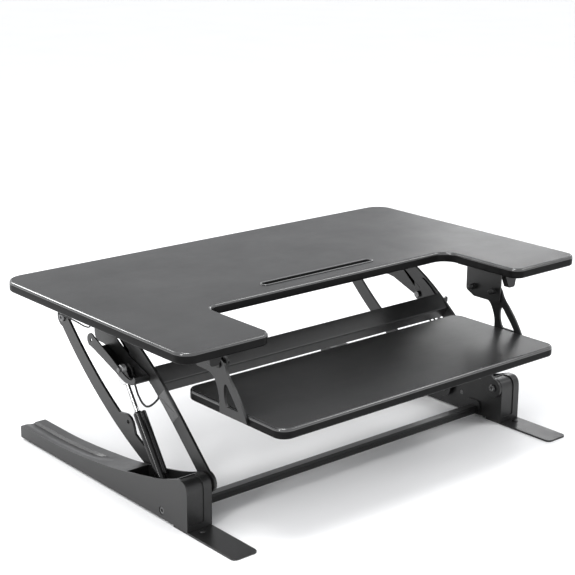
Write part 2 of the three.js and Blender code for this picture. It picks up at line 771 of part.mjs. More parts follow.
const hanger = (s) => {
  const { inner, sheet, front, back, under } = HANGER;
  const top = DESK.under - GAP;
  const outline = rounded([
    [front, top],
    [front, under, 6],
    [back - 20, under, 6],
    [back, under + 10, 6],
    [back, top],
  ], 4);
  const plate = sidePlate(s, outline, inner, inner + sheet);
  const flange = sideBlock(s, inner - 26, inner + sheet, [front, back], [top - sheet, top]);
  const holes = THUMB_BOLTS.map((at) => turned(s, [[inner - 2, 3.4], [inner + sheet + 2, 3.4]], at));
  return cut(join(plate, flange), ...holes);
};

const trayArm = (s) => {
  const { inner, outer } = TRAY_ARM;
  const shape = new THREE.Shape();
  shape.moveTo(-183, TONGUE.low);
  shape.lineTo(-182.5, 213);
  shape.quadraticCurveTo(-181, 229, -171, 244);
  shape.quadraticCurveTo(-164, 253, -148, 254);
  shape.lineTo(-126, 254);
  shape.quadraticCurveTo(-117, 256, -117, 267);
  shape.quadraticCurveTo(-117, 281, -130, 281);
  shape.lineTo(-184, 282);
  shape.quadraticCurveTo(-195, 282, -199, 268);
  shape.quadraticCurveTo(-204, 258, -213, 250);
  shape.quadraticCurveTo(-236, 227, -253, 192);
  shape.lineTo(-253, TONGUE.low);
  const window = new THREE.Path();
  window.moveTo(-202, 205);
  window.quadraticCurveTo(-194, 214, -194.5, 232);
  window.quadraticCurveTo(-195, 242, -199, 243);
  window.quadraticCurveTo(-203, 242, -208, 234);
  window.quadraticCurveTo(-221, 220, -231, 205);
  shape.holes.push(window);
  const plate = sidePlate(s, shape, inner, outer, { curveSegments: 6 });
  const { front, back, low, thick, deep } = TONGUE;
  const tongue = sideBlock(s, inner - deep, outer, [front, back], [low, low + thick]);
  const holes = THUMB_BOLTS.map((at) => turned(s, [[inner - 1, 3.4], [outer + 1, 3.4]], at));
  return cut(join(plate, tongue), ...holes);
};

const thumbBolt = (s, at) => {
  const { inner, sheet } = HANGER;
  return turned(
    s,
    [
      [inner - 11, 5],
      [inner - 10, 7],
      [inner - 4, 7.5],
      [inner - 2.5, 5],
      [inner - GAP, 6],
      [inner - GAP, 3],
      [TRAY_ARM.outer + GAP, 3],
      [TRAY_ARM.outer + GAP, 6.5],
      [TRAY_ARM.outer + sheet, 6.5],
      [TRAY_ARM.outer + sheet + 1, 5],
    ],
    at,
  );
};

SIDES.forEach(([s, side]) => {
  add(`${side}_tray_hanger`, hanger(s), POWDER);
  add(`${side}_tray_arm`, trayArm(s), POWDER);
  add(`${side}_tray_rear_thumb_bolt`, thumbBolt(s, THUMB_BOLTS[0]), PLASTIC);
  add(`${side}_tray_front_thumb_bolt`, thumbBolt(s, THUMB_BOLTS[1]), PLASTIC);
});

// ---------------------------------------------------------------- release paddles

const paddle = (s) => {
  const { inner, outer, back, thick, pin } = PADDLE;
  const outline = rounded([
    [s * inner, 310.5],
    [s * 341, 278, 4],
    [s * 357, 278, 5],
    [s * outer, 297, 8],
    [s * outer, 315],
    [s * inner, 315],
  ], 4);
  const blade = crossPlate(outline, back - thick, back);
  const bore = turned(s, [[inner - 2, 2.6], [outer + 2, 2.6]], pin);
  return cut(blade, bore);
};

const paddleBracket = (s) => {
  const { inner, outer, pin } = PADDLE;
  const top = DESK.under - GAP;
  const ear = rounded([
    [pin[0] - 5, top],
    [pin[0] - 5, pin[1] - 5, 4],
    [pin[0] + 6, pin[1] - 5, 4],
    [-168, top - 6, 4],
    [-168, top],
  ], 4);
  const near = sidePlate(s, ear, inner - 2.5, inner - GAP);
  const far = sidePlate(s, ear, outer + GAP, outer + 2.5);
  const bridge = sideBlock(s, inner - 2.5, outer + 2.5, [-182, -168], [top - 2.5, top]);
  const rod = turned(s, [[inner - 2, 2.2], [outer + 2, 2.2]], pin, 14);
  return join(near, far, bridge, rod);
};

SIDES.forEach(([s, side]) => {
  add(`${side}_release_paddle`, paddle(s), PLASTIC);
  add(`${side}_paddle_bracket`, paddleBracket(s), POWDER);
});

// ---------------------------------------------------------------- cables

const tube = (s, radius, steps, points) => {
  const path = new THREE.CatmullRomCurve3(points.map(([x, y, z]) => new THREE.Vector3(s * x, y, z)));
  const section = new THREE.Shape(
    Array.from({ length: 8 }, (_, i) => {
      const turn = (i * Math.PI) / 4;
      return new THREE.Vector2(radius * Math.cos(turn), radius * Math.sin(turn));
    }),
  );
  return toSolid(new THREE.ExtrudeGeometry(section, { steps, extrudePath: path, bevelEnabled: false }));
};

// The release cable leaves the spring's head through the pan, hangs in a loop and passes under the front
// arm to the channel.
const releaseCable = (s) =>
  tube(s, 1.8, 18, [
    [360.3, 26.5, 223],
    [357, 25.5, 217],
    [353, 24.6, 208],
    [352.2, 24.4, 197],
    [350.6, 20, 182],
    [350.2, 12, 167],
    [350.2, -4, 155.5],
    [349.6, -15, 156],
    [346, -21, 160],
    [341, -24, 165],
    [335, -24, 170],
    [331.5, -19, 177],
    [331, -14, 187],
    [331, -10, 198],
  ]);

// The paddle cable runs forward from the rear pivot and turns up under the desktop.
const paddleCable = (s) =>
  tube(s, 1.4, 12, [
    [351, 262, 253],
    [351, 235, 253.5],
    [351, 200, 252.4],
    [351, 168, 251],
    [351, 158, 254],
    [351, 153, 264],
    [351, 152, 285],
    [351, 152, 316.5],
  ]);

SIDES.forEach(([s, side]) => {
  add(`${side}_release_cable`, releaseCable(s), RUBBER);
  add(`${side}_paddle_cable`, paddleCable(s), RUBBER);
});

export default group;
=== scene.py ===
"""Looks of the standing desk converter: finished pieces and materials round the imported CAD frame."""

import json
import math

import bmesh
import bpy
from mathutils import Matrix, Vector


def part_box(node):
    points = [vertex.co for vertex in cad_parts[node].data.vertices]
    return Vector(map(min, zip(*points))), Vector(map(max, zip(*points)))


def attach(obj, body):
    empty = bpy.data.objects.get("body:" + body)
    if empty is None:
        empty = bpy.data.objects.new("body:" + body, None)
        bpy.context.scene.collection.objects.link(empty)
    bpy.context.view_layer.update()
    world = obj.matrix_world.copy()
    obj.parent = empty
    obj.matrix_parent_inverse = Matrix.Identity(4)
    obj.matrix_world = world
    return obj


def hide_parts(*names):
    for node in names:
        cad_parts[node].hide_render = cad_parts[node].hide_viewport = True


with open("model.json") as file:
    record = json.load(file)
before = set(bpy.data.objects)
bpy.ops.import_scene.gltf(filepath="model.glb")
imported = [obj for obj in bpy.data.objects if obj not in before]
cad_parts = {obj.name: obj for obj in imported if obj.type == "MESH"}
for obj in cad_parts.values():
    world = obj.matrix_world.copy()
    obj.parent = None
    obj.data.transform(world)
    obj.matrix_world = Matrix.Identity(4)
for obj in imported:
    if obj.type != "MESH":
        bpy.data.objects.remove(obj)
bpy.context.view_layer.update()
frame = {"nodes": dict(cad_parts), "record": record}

MM = 0.001
NODES = frame["nodes"]
BODY_OF = {node: body for body, nodes in frame["record"]["behaviour"]["bodies"].items() for node in nodes}
SIDES = ((-1, "left"), (1, "right"))


# ------------------------------------------------------------------ node graphs


class Graph:
    """Builds a material's node tree; every texture is in object coordinates, in metres."""

    def __init__(self, name):
        self.material = bpy.data.materials.new(name)
        self.material.use_nodes = True
        self.tree = self.material.node_tree
        self.tree.nodes.clear()
        self.out = self.tree.nodes.new("ShaderNodeOutputMaterial")
        self.bsdf = self.tree.nodes.new("ShaderNodeBsdfPrincipled")
        self.tree.links.new(self.bsdf.outputs[0], self.out.inputs[0])
        self.where = self.tree.nodes.new("ShaderNodeTexCoord").outputs["Object"]

    def link(self, source, target):
        self.tree.links.new(source, target)

    def stretched(self, scale):
        mapping = self.tree.nodes.new("ShaderNodeMapping")
        mapping.inputs["Scale"].default_value = scale
        self.link(self.where, mapping.inputs["Vector"])
        return mapping.outputs[0]

    def noise(self, scale, detail=3.0, rough=0.5, where=None):
        node = self.tree.nodes.new("ShaderNodeTexNoise")
        node.inputs["Scale"].default_value = scale
        node.inputs["Detail"].default_value = detail
        node.inputs["Roughness"].default_value = rough
        self.link(where or self.where, node.inputs["Vector"])
        return node.outputs["Fac"]

    def cells(self, scale, where=None):
        node = self.tree.nodes.new("ShaderNodeTexVoronoi")
        node.inputs["Scale"].default_value = scale
        self.link(where or self.where, node.inputs["Vector"])
        return node.outputs["Distance"]

    def ramp(self, source, low, high, from_low=0.3, from_high=0.7):
        """Maps a texture value onto a number range."""
        node = self.tree.nodes.new("ShaderNodeMapRange")
        ends = {"From Min": from_low, "From Max": from_high, "To Min": low, "To Max": high}
        for name, value in ends.items():
            node.inputs[name].default_value = value
        self.link(source, node.inputs["Value"])
        return node.outputs[0]

    def tint(self, source, dark, light, low=0.3, high=0.7):
        node = self.tree.nodes.new("ShaderNodeValToRGB")
        node.color_ramp.elements[0].position = low
        node.color_ramp.elements[0].color = (*dark, 1)
        node.color_ramp.elements[1].position = high
        node.color_ramp.elements[1].color = (*light, 1)
        self.link(source, node.inputs[0])
        return node.outputs[0]

    def bump(self, height, strength, distance, normal=None):
        node = self.tree.nodes.new("ShaderNodeBump")
        node.inputs["Strength"].default_value = strength
        node.inputs["Distance"].default_value = distance
        self.link(height, node.inputs["Height"])
        if normal:
            self.link(normal, node.inputs["Normal"])
        return node.outputs[0]

    def set(self, **sockets):
        for name, value in sockets.items():
            socket = self.bsdf.inputs[name.replace("_", " ")]
            if hasattr(value, "is_output"):
                self.link(value, socket)
            else:
                socket.default_value = value
        return self.material


def grey(value, warm=0.0):
    return (value * (1 + warm), value, value * (1 - warm))


def board_laminate():
    """Black foil laminate: fine pebble texture with a faint long grain."""
    g = Graph("board_laminate")
    cloud = g.noise(9, 4, 0.6)
    pebble = g.cells(900)
    grain = g.noise(60, 5, 0.7, g.stretched((0.15, 2.2, 1)))
    relief = g.bump(pebble, 0.25, 0.00025)
    relief = g.bump(grain, 0.12, 0.0003, relief)
    return g.set(
        Base_Color=g.tint(grain, grey(0.008), grey(0.014)),
        Roughness=g.ramp(cloud, 0.34, 0.40),
        Specular_IOR_Level=0.22,
        Normal=relief,
    )


def powder_coat():
    """Fine black powder coat: orange peel, with a tone and sheen that vary slowly."""
    g = Graph("powder_coat")
    peel = g.noise(1400, 2)
    broad = g.noise(35, 4, 0.65)
    relief = g.bump(peel, 0.18, 0.0002)
    return g.set(
        Base_Color=g.tint(broad, grey(0.007), grey(0.013)),
        Roughness=g.ramp(broad, 0.30, 0.40),
        Specular_IOR_Level=0.42,
        Normal=relief,
    )


def moulded_plastic():
    g = Graph("moulded_plastic")
    spark = g.noise(2200, 2)
    broad = g.noise(60, 3)
    return g.set(
        Base_Color=g.tint(broad, grey(0.008), grey(0.014)),
        Roughness=g.ramp(broad, 0.34, 0.44),
        Specular_IOR_Level=0.3,
        Normal=g.bump(spark, 0.15, 0.00015),
    )


def rubber():
    g = Graph("black_rubber")
    speck = g.noise(900, 3)
    return g.set(
        Base_Color=g.tint(speck, grey(0.010), grey(0.017)),
        Roughness=g.ramp(speck, 0.7, 0.85),
        Normal=g.bump(speck, 0.2, 0.0002),
    )


def black_oxide():
    g = Graph("black_oxide_steel")
    broad = g.noise(180, 4, 0.6)
    turned = g.noise(500, 3, 0.6, g.stretched((5, 1, 1)))
    return g.set(
        Base_Color=g.tint(broad, grey(0.09), grey(0.16)),
        Metallic=0.9,
        Roughness=g.ramp(turned, 0.24, 0.36),
        Normal=g.bump(turned, 0.1, 0.0001),
    )


def chrome():
    g = Graph("polished_chrome")
    broad = g.noise(90, 4, 0.6)
    return g.set(
        Base_Color=g.tint(broad, grey(0.30), grey(0.40)),
        Metallic=1.0,
        Roughness=g.ramp(broad, 0.06, 0.14),
    )


def cast_alloy():
    g = Graph("cast_alloy")
    grit = g.noise(700, 4, 0.6)
    return g.set(
        Base_Color=g.tint(grit, grey(0.52), grey(0.66)),
        Metallic=0.85,
        Roughness=g.ramp(grit, 0.35, 0.5),
        Normal=g.bump(grit, 0.25, 0.0002),
    )


def tube_paint():
    g = Graph("spring_tube_paint")
    peel = g.noise(600, 2)
    broad = g.noise(45, 3)
    return g.set(
        Base_Color=g.tint(broad, grey(0.004), grey(0.008)),
        Roughness=g.ramp(broad, 0.14, 0.22),
        Specular_IOR_Level=0.3,
        Normal=g.bump(peel, 0.08, 0.00015),
    )


def bead_painted_highlight():
    """The polished rounded bead along the top of a board's edge; its lighter colour is a painted
    highlight.
    """
    g = Graph("bead_painted_highlight")
    ripple = g.noise(50, 3, 0.5)
    return g.set(
        # lighter than the board and the band below it: painted highlight on the edge strip
        Base_Color=g.tint(ripple, grey(0.016), grey(0.024)),
        Roughness=g.ramp(ripple, 0.16, 0.24),
        Specular_IOR_Level=1.0,
    )


def band_painted_shade():
    """The satin band below the bead, coloured darker than the board and the bead as painted shade."""
    g = Graph("band_painted_shade")
    ripple = g.noise(70, 3, 0.5)
    speck = g.noise(1500, 2)
    return g.set(
        # darker than the bead on the same edge strip: painted shade
        Base_Color=g.tint(ripple, grey(0.004), grey(0.007)),
        Roughness=g.ramp(ripple, 0.3, 0.4),
        Specular_IOR_Level=0.06,
        Normal=g.bump(speck, 0.08, 0.00015),
    )


def blank_film():
    """Grey satin film on a thin plate, with nothing on it."""
    g = Graph("blank_film")
    cloud = g.noise(120, 4, 0.6)
    return g.set(
        Base_Color=g.tint(cloud, grey(0.07), grey(0.11)),
        Metallic=0.3,
        Roughness=g.ramp(cloud, 0.35, 0.5),
        Normal=g.bump(cloud, 0.1, 0.0002),
    )


FINISHES = {
    "board": board_laminate(),
    # the bead and band finishes are one edge strip, coloured lighter and darker: painted highlight and
    # painted shade
    "bead_painted_highlight": bead_painted_highlight(),
    "band_painted_shade": band_painted_shade(),
    "blank_film": blank_film(),
    "powder": powder_coat(),
    "plastic": moulded_plastic(),
    "rubber": rubber(),
    "bolt": black_oxide(),
    "chrome": chrome(),
    "cast": cast_alloy(),
    "tube_paint": tube_paint(),
}
SLOT_OF = {part["node"]: part["material_slot"] for part in frame["record"]["subparts"]}


def dress_nodes():
    for name, obj in NODES.items():
        finish = FINISHES[SLOT_OF[name]]
        if obj.data.materials:
            for i in range(len(obj.data.materials)):
                obj.material_slots[i].link = "OBJECT"
                obj.material_slots[i].material = finish
        else:
            obj.data.materials.append(finish)


# ------------------------------------------------------------------ dimensions, in millimetres

DESK_TOP, DESK_UNDER = 336.2, 317.5
DESK_HALF, DESK_FRONT, DESK_BACK = 457.2, -264.5, 271.5
DESK_FRONT_CORNER, DESK_BACK_CORNER = 25, 38
CUTOUT_HALF, CUTOUT_BACK = 284.4, -88.4
CUTOUT_CORNER, CUTOUT_LIP = 28, 21
SLOT_Y, SLOT_HALF, SLOT_RADIUS, SLOT_DEPTH = -46.8, 130.0, 9.0, 13
TRAY_TOP, TRAY_UNDER = 204.0, 186.0
TRAY_HALF, TRAY_FRONT, TRAY_BACK, TRAY_CORNER = 323.7, -333.5, -84, 22
GROOVE_WIDE, GROOVE_DEEP = 0.9, 0.5
BEAD_RUN, BEAD_START, BEAD_DROP = 3.2, -0.05, 4.7
UNDER_ROUND = 3.6
FRONT_FOOT_PIVOT, REAR_FOOT_PIVOT = (-173.0, 72.0), (-44.5, 38.0)
ARM_LENGTH, ARM_ANGLE = 366.7, math.radians(34.6)
ARM_INNER, ARM_OUTER = 340.0, 345.0
PAN_SHEET, GAP = 2.6, 0.3
FOOT_INNER, FOOT_OUTER, FOOT_WALL = 348.9, 398.8, 3.0
FOOT_SOLE, FOOT_LOW_PART = 5, 22
CROSSBAR_BOLT = (-118.0, 17.0)
THUMB_BOLTS = {"rear": (-130.5, 270.0), "front": (-180.5, 272.0)}
RELEASE_CABLE_RADIUS, PADDLE_CABLE_RADIUS = 1.8, 1.4
RELEASE_CABLE = (
    (360.3, 26.5, 223), (357, 25.5, 217), (353, 24.6, 208), (352.2, 24.4, 197), (350.6, 20, 182),
    (350.2, 12, 167), (350.2, -4, 155.5), (349.6, -15, 156), (346, -21, 160), (341, -24, 165),
    (335, -24, 170), (331.5, -19, 177), (331, -14, 187), (331, -10, 198),
)
PADDLE_CABLE = (
    (351, 262, 253), (351, 235, 253.5), (351, 200, 252.4), (351, 168, 251),
    (351, 158, 254), (351, 153, 264), (351, 152, 285), (351, 152, 316.5),
)
BLANK_PLATE = ((-39.5, 180.5), (-56.5, 197), (-95.0, 161.5), (-79.0, 145.5))
BLANK_PLATE_CORNER = 1.6
EDGE_ROUNDING = {
    "foot_plate": 0.8,
    "front_arm": 0.8,
    "rear_arm": 0.8,
    "spring_pan": 0.5,
    "desk_rail": 0.4,
    "tray_hanger": 0.4,
    "tray_arm": 0.7,
    "paddle_bracket": 0.3,
    "release_paddle": 1.4,
    "gas_spring_head": 0.9,
    "gas_spring_tube": 0.5,
    "gas_spring_rod": 0.25,
    "rear_foot_pad": 0.6,
    "spring_upper_pin_outer": 0.3,
}
FOOT_ROUNDING, FOOT_OPENING_ROUNDING = 2.2, 0.35
CROSSBAR_ROUNDING, CHANNEL_ROUNDING = 0.8, 0.5


def reach(pivot):
    """The upper end of the arm that stands on pivot."""
    return (
        pivot[0] + ARM_LENGTH * math.cos(ARM_ANGLE),
        pivot[1] + ARM_LENGTH * math.sin(ARM_ANGLE),
    )


FRONT_DESK_PIVOT, REAR_DESK_PIVOT = reach(FRONT_FOOT_PIVOT), reach(REAR_FOOT_PIVOT)


# ------------------------------------------------------------------ making pieces


def shaded(mesh, smooth):
    """Shades a mesh round, but for edges sharper than smooth degrees."""
    mesh.polygons.foreach_set("use_smooth", [True] * len(mesh.polygons))
    mesh.set_sharp_from_angle(angle=math.radians(smooth))


def finished(obj, node, finishes=None, smooth=34):
    """Rides the node's body and takes its finish; without smooth, the shading is left as it is."""
    mesh = obj.data
    if mesh.materials:
        mesh.materials.clear()
    for finish in finishes or [SLOT_OF[node]]:
        mesh.materials.append(FINISHES[finish])
    if smooth:
        shaded(mesh, smooth)
    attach(obj, BODY_OF[node])
    return obj


def from_bmesh(name, bm):
    bmesh.ops.recalc_face_normals(bm, faces=bm.faces)
    mesh = bpy.data.meshes.new(name)
    bm.to_mesh(mesh)
    bm.free()
    obj = bpy.data.objects.new(name, mesh)
    bpy.context.scene.collection.objects.link(obj)
    return obj


def applied(obj):
    """Bakes an object's modifiers, or a curve's form, into a plain mesh object of the same name."""
    graph = bpy.context.evaluated_depsgraph_get()
    mesh = bpy.data.meshes.new_from_object(obj.evaluated_get(graph))
    name = obj.name
    bpy.data.objects.remove(obj)
    result = bpy.data.objects.new(name, mesh)
    mesh.name = name
    bpy.context.scene.collection.objects.link(result)
    return result


def softened(node, wide=0.7, edge=None, edge_wide=2.0, segments=3, smooth=34):
    """The node's own form with every sharp edge rounded; edges that pass edge() get the wider rounding."""
    bm = bmesh.new()
    bm.from_mesh(NODES[node].data)
    bmesh.ops.remove_doubles(bm, verts=bm.verts, dist=2e-6)
    bmesh.ops.dissolve_limit(bm, angle_limit=math.radians(0.8), verts=bm.verts, edges=bm.edges)
    widest = max(wide, edge_wide) if edge else wide
    weights = bm.edges.layers.float.new("bevel_weight_edge")
    for line in bm.edges:
        if len(line.link_faces) != 2 or line.calc_face_angle(0) < math.radians(38):
            continue
        broad = edge and edge(*(v.co / MM for v in line.verts))
        line[weights] = (edge_wide if broad else wide) / widest
    obj = from_bmesh(f"{node}_form", bm)
    bevel = obj.modifiers.new("round", "BEVEL")
    bevel.limit_method = "WEIGHT"
    bevel.width = widest * MM
    bevel.segments = segments
    bevel.use_clamp_overlap = True
    obj = applied(obj)
    shaded(obj.data, smooth)
    # broad flat faces keep their own normals, so only the roundings are shaded round
    weighted = obj.modifiers.new("flat faces", "WEIGHTED_NORMAL")
    weighted.keep_sharp = True
    obj = applied(obj)
    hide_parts(node)
    return finished(obj, node, smooth=None)


def rounded(corners, steps=16):
    """A closed outline whose corners (a, b, radius) are rounded by arcs."""
    points = []
    for i, (a, b, radius) in enumerate(corners):
        here = Vector((a, b))
        before = (Vector(corners[i - 1][:2]) - here).normalized()
        after = (Vector(corners[(i + 1) % len(corners)][:2]) - here).normalized()
        half = before.angle(after) / 2
        centre = here + (before + after).normalized() * radius / math.sin(half)
        start = here + before * radius / math.tan(half) - centre
        end = here + after * radius / math.tan(half) - centre
        sweep = math.atan2(start.x * end.y - start.y * end.x, start.dot(end))
        for k in range(steps + 1):
            turn = sweep * k / steps
            c, s = math.cos(turn), math.sin(turn)
            points.append(centre + Vector((start.x * c - start.y * s, start.x * s + start.y * c)))
    return points


def stadium(y, half, radius, steps=20):
    """A slot's outline along X, with round ends."""
    points = []
    for side in (1, -1):
        end = Vector((side * (half - radius), y))
        for k in range(steps + 1):
            turn = math.pi * (k / steps - side / 2)
            points.append(end + radius * Vector((math.cos(turn), math.sin(turn))))
    return points


def inset(points, by):
    """Moves a counter-clockwise outline inwards."""
    moved = []
    for i, here in enumerate(points):
        a = here - points[i - 1]
        b = points[(i + 1) % len(points)] - here
        a = Vector((-a.y, a.x)).normalized() if a.length > 1e-9 else None
        b = Vector((-b.y, b.x)).normalized() if b.length > 1e-9 else None
        a, b = a or b, b or a
        moved.append(here + (a + b) / (1 + a.dot(b)) * by)
    return moved


def skin(bm, rings, material=0):
    """Joins closed rings of equal count one after another and returns their vertices."""
    made = [[bm.verts.new(Vector(p) * MM) for p in ring] for ring in rings]
    for low, high in zip(made, made[1:]):
        for i in range(len(low)):
            j = (i + 1) % len(low)
            bm.faces.new((low[i], low[j], high[j], high[i])).material_index = material
    return made


def capped(bm, rings):
    """The rings' skin, closed by a face over each end."""
    made = skin(bm, rings)
    bm.faces.new(made[0])
    bm.faces.new(made[-1])


def around(bm, ring):
    return [bm.edges.get((ring[i], ring[(i + 1) % len(ring)])) for i in range(len(ring))]


def level(outline, by, z):
    return [(p.x, p.y, z) for p in inset(outline, by)]


def filled(bm, edges):
    bmesh.ops.triangle_fill(bm, edges=edges, use_beauty=True)


def board(node, outline, top, under, holes=()):
    """A laminate board whose edge has a fine groove, a polished bead coloured lighter as a painted
    highlight, and a band below it coloured darker as painted shade.
    """
    groove_end = BEAD_RUN + GROOVE_WIDE
    groove = [
        (groove_end + 0.2, 0),
        (groove_end + 0.05, -GROOVE_DEEP),
        (BEAD_RUN + 0.2, -GROOVE_DEEP),
        (BEAD_RUN, BEAD_START),
    ]
    bead = [
        (
            BEAD_RUN * (1 - math.sin(math.radians(a))),
            BEAD_START - BEAD_DROP * (1 - math.cos(math.radians(a))),
        )
        for a in range(9, 91, 9)
    ]
    tail = [
        (
            UNDER_ROUND * (1 - math.cos(math.radians(a))),
            under - top + UNDER_ROUND * (1 - math.sin(math.radians(a))),
        )
        for a in range(0, 91, 15)
    ]
    bm = bmesh.new()
    profile = groove + bead + tail
    rings = skin(bm, [level(outline, by, top + z) for by, z in profile], 1)
    # faces below the bead take the darker band colour: painted shade
    for face in bm.faces:
        if face.calc_center_median().z / MM < top + BEAD_START - BEAD_DROP:
            face.material_index = 2
    upper, lower = around(bm, rings[0]), around(bm, rings[-1])
    for hole in holes:
        walls = skin(bm, [level(hole, 0, top), level(hole, 0, under)])
        upper += around(bm, walls[0])
        lower += around(bm, walls[-1])
    filled(bm, upper)
    filled(bm, lower)
    obj = from_bmesh(f"{node}_board", bm)
    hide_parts(node)
    return finished(obj, node, ["board", "bead_painted_highlight", "band_painted_shade"], smooth=30)


def boards():
    desk = rounded(
        [
            (DESK_HALF, DESK_BACK, DESK_BACK_CORNER),
            (-DESK_HALF, DESK_BACK, DESK_BACK_CORNER),
            (-DESK_HALF, DESK_FRONT, DESK_FRONT_CORNER),
            (-CUTOUT_HALF, DESK_FRONT, CUTOUT_LIP),
            (-CUTOUT_HALF, CUTOUT_BACK, CUTOUT_CORNER),
            (CUTOUT_HALF, CUTOUT_BACK, CUTOUT_CORNER),
            (CUTOUT_HALF, DESK_FRONT, CUTOUT_LIP),
            (DESK_HALF, DESK_FRONT, DESK_FRONT_CORNER),
        ]
    )
    board("desktop", desk, DESK_TOP, DESK_UNDER, [stadium(SLOT_Y, SLOT_HALF, SLOT_RADIUS)])
    tray = rounded(
        [
            (TRAY_HALF, TRAY_BACK, TRAY_CORNER),
            (-TRAY_HALF, TRAY_BACK, TRAY_CORNER),
            (-TRAY_HALF, TRAY_FRONT, TRAY_CORNER),
            (TRAY_HALF, TRAY_FRONT, TRAY_CORNER),
        ]
    )
    board("keyboard_tray", tray, TRAY_TOP, TRAY_UNDER)


def slot_liner():
    """A trough coloured dark under the desktop as painted shade, with a polished lip that stands just
    above the desktop and is coloured lighter as a painted highlight.
    """
    floor = DESK_TOP - SLOT_DEPTH
    outline = stadium(SLOT_Y, SLOT_HALF, SLOT_RADIUS)
    outside = [(4.0, floor), (0.6, floor), (0.3, floor + 0.4), (0.3, DESK_TOP + 0.3)]
    lip = [
        (-1.2, DESK_TOP + 0.3),
        (-1.2, DESK_TOP + 0.7),
        (-0.9, DESK_TOP + 1.05),
        (-0.3, DESK_TOP + 1.2),
        (1.5, DESK_TOP + 1.2),
        (2.0, DESK_TOP + 1.0),
        (2.3, DESK_TOP + 0.5),
    ]
    inside = [(2.3, floor + 2.8), (2.6, floor + 2.2), (4.0, floor + 2)]
    bm = bmesh.new()
    rings = skin(bm, [level(outline, by, z) for by, z in outside + lip + inside])
    filled(bm, around(bm, rings[0]))
    filled(bm, around(bm, rings[-1]))
    # the lip above the desktop takes the lighter bead colour as painted highlight, the trough below it the
    # darker band colour as painted shade
    for face in bm.faces:
        face.material_index = int(face.calc_center_median().z / MM < DESK_TOP)
    obj = from_bmesh("tablet_slot_liner_form", bm)
    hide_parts("tablet_slot_liner")
    finished(obj, "tablet_slot_liner", ["bead_painted_highlight", "band_painted_shade"])


# ------------------------------------------------------------------ turned pieces


def hexagon(radius):
    """How far a hexagon with corners at radius reaches in each direction."""
    step = math.pi / 3
    return lambda turn: radius * math.cos(step / 2) / math.cos(turn % step - step / 2)


def wing(scale):
    """The outline of a two-winged thumb knob."""
    return lambda turn: scale * (4.6 + 2.9 * abs(math.cos(turn + 0.6)) ** 2.2)


def loop(at, radius, segments):
    """Points round at; the radius is a number or a function of the direction."""
    size = radius if callable(radius) else lambda turn: radius
    turns = [2 * math.pi * k / segments for k in range(segments)]
    return [(at[0] + size(t) * math.cos(t), at[1] + size(t) * math.sin(t)) for t in turns]


def spun(node, name, side, at, profile, segments=48, socket=None):
    """Turned about an X axis through at; the profile is (distance from the middle, radius), and a socket
    (radius, depth) is a hexagonal recess in its last face."""
    profile = list(profile)
    if socket:
        across, deep = socket
        last = profile[-1][0]
        inward = math.copysign(deep, profile[-2][0] - last)
        profile += [
            (last, hexagon(across * 1.12)),
            (last + inward * 0.12, hexagon(across)),
            (last + inward, hexagon(across * 0.96)),
        ]
    bm = bmesh.new()
    capped(bm, [[(side * x, y, z) for y, z in loop(at, radius, segments)] for x, radius in profile])
    obj = from_bmesh(name, bm)
    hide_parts(node)
    finished(obj, node, smooth=40)


def crossbar_bolt(word, side):
    """Socket screw whose head sits in the foot's outer side."""
    node = f"{word}_crossbar_bolt"
    seat = FOOT_OUTER - 3.4
    profile = [
        (FOOT_INNER + GAP, 3),
        (seat, 3),
        (seat, 6.1),
        (seat + 0.4, 6.5),
        (seat + 1.8, 6.5),
        (seat + 2.5, 6.1),
        (seat + 2.8, 5.3),
    ]
    spun(node, f"{node}_socket_screw", side, CROSSBAR_BOLT, profile, socket=(3.2, 2.4))


def foot_pivot_bolt(word, side, place, at):
    """Head inside the foot, a spacer between foot and arm, and a nut behind the arm."""
    node = f"{word}_{place}_foot_pivot_bolt"
    head, nut = FOOT_INNER + FOOT_WALL + GAP, ARM_INNER - GAP
    profile = [
        (head + 4.2, 5.6),
        (head + 4.2, 6.1),
        (head + 3.8, 6.5),
        (head, 6.5),
        (head, 4),
        (FOOT_INNER - GAP, 4),
        (FOOT_INNER - GAP, 7.6),
        (FOOT_INNER - GAP - 0.4, 8),
        (ARM_OUTER + GAP + 0.4, 8),
        (ARM_OUTER + GAP, 7.6),
        (ARM_OUTER + GAP, 4),
        (nut, 4),
        (nut, hexagon(7.6)),
        (nut - 2.5, hexagon(7.6)),
        (nut - 3.1, 6.4),
        (nut - 3.3, 5.2),
    ]
    spun(node, f"{node}_turned", side, at, profile, socket=(2.4, 1.6))


def desk_pivot_bolt(word, side, place, at, stack):
    """Nut behind the desktop's rail and a domed head on the outermost plate, at stack."""
    node = f"{word}_{place}_desk_pivot_bolt"
    nut, head = ARM_INNER - 3.9, stack + GAP
    profile = [
        (nut - 5, 4.4),
        (nut - 5, 5.2),
        (nut - 4.5, hexagon(6.6)),
        (nut, hexagon(6.6)),
        (nut, 4),
        (head, 4),
        (head, 7.7),
        (head + 0.3, 8),
        (head + 1.9, 8),
        (head + 2.9, 7.2),
        (head + 3.5, 5.6),
    ]
    spun(node, f"{node}_turned", side, at, profile, socket=(2.9, 2.0))


def thumb_bolt(word, side, place, at):
    """Round head outside the hanger and a winged knob on the tray arm."""
    node = f"{word}_tray_{place}_thumb_bolt"
    head, knob = 328.3, 320.0
    profile = [
        (head + 2.7, 4.6),
        (head + 2.7, 5.8),
        (head + 2.3, 6.4),
        (head, 6.4),
        (head, 3),
        (knob, 3),
        (knob, 5.8),
        (knob - 1.4, 5.9),
        (knob - 2.4, 4.7),
        (knob - 3.1, wing(0.84)),
        (knob - 3.8, wing(0.97)),
        (knob - 5.4, wing(1.0)),
        (knob - 8.4, wing(1.0)),
        (knob - 9.8, wing(0.96)),
        (knob - 10.5, wing(0.82)),
        (knob - 10.7, wing(0.6)),
    ]
    spun(node, f"{node}_wing", side, at, profile, segments=60)


